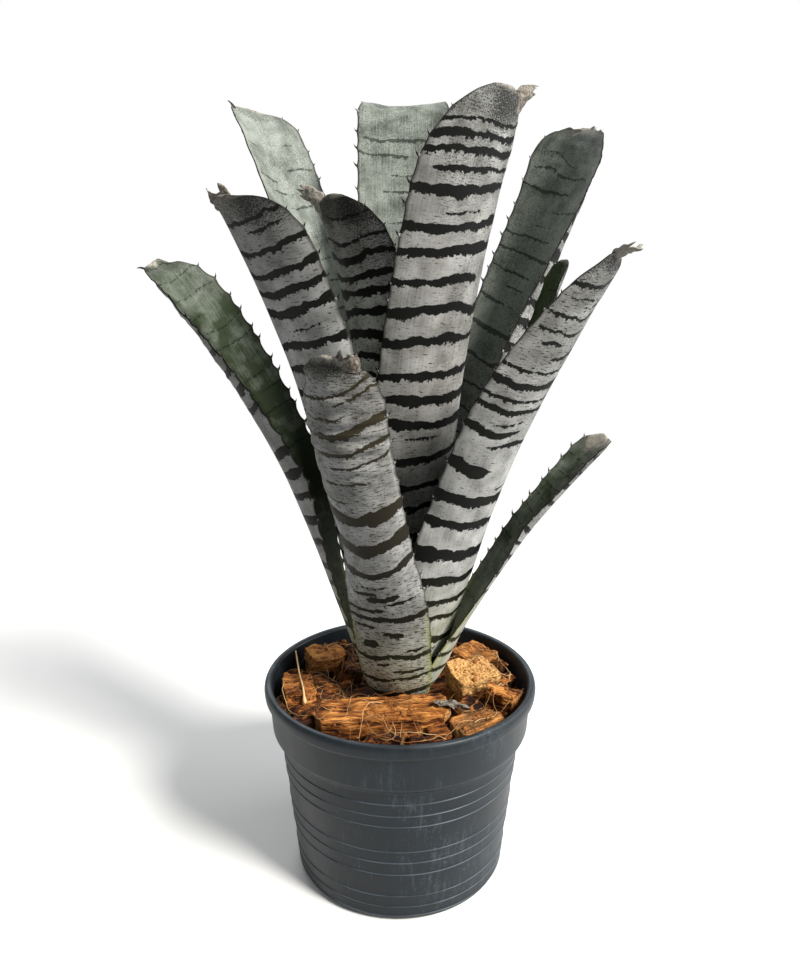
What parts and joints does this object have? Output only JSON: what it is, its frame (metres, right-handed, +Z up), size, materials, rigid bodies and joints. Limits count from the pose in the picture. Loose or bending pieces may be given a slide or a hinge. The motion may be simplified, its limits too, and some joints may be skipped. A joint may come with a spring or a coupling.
{
  "type": "potted bromeliad",
  "caption": "Young banded bromeliad with spined strap leaves in one upright rosette, bedded in coconut husk in a round tapered nursery pot that rests on a flat surface.",
  "frame": {"origin": "centre of the pot's underside, on the surface that it rests on", "axes": "+Z up along the pot's axis, -Y towards the viewer of the front, +X to the right"},
  "size_m": [0.2303, 0.172, 0.4183],
  "materials": {
    "pot_plastic": "satin",
    "leaf_blade": "satin",
    "coconut_husk": "matt",
    "potting_mix": "matt",
    "stem_wood": "matt"
  },
  "bodies": {
    "root": {"pot": "pot_plastic", "husk_mix": "potting_mix", "stem": "stem_wood", "husk_chip_front": "coconut_husk", "husk_block_tan": "coconut_husk", "husk_block_round": "coconut_husk", "husk_chip_front_right": "coconut_husk", "husk_chip_back_right": "coconut_husk", "husk_chip_left": "coconut_husk", "husk_chip_back_left": "coconut_husk", "husk_chip_back": "coconut_husk", "leaf_front_low": "leaf_blade", "leaf_right_small": "leaf_blade", "leaf_left_low": "leaf_blade", "leaf_front_right": "leaf_blade", "leaf_front_left": "leaf_blade", "leaf_right_narrow": "leaf_blade", "leaf_back_left": "leaf_blade", "leaf_back_right": "leaf_blade", "leaf_front_tall": "leaf_blade", "leaf_back_centre": "leaf_blade", "leaf_front_inner": "leaf_blade"}
  },
  "joints": []
}
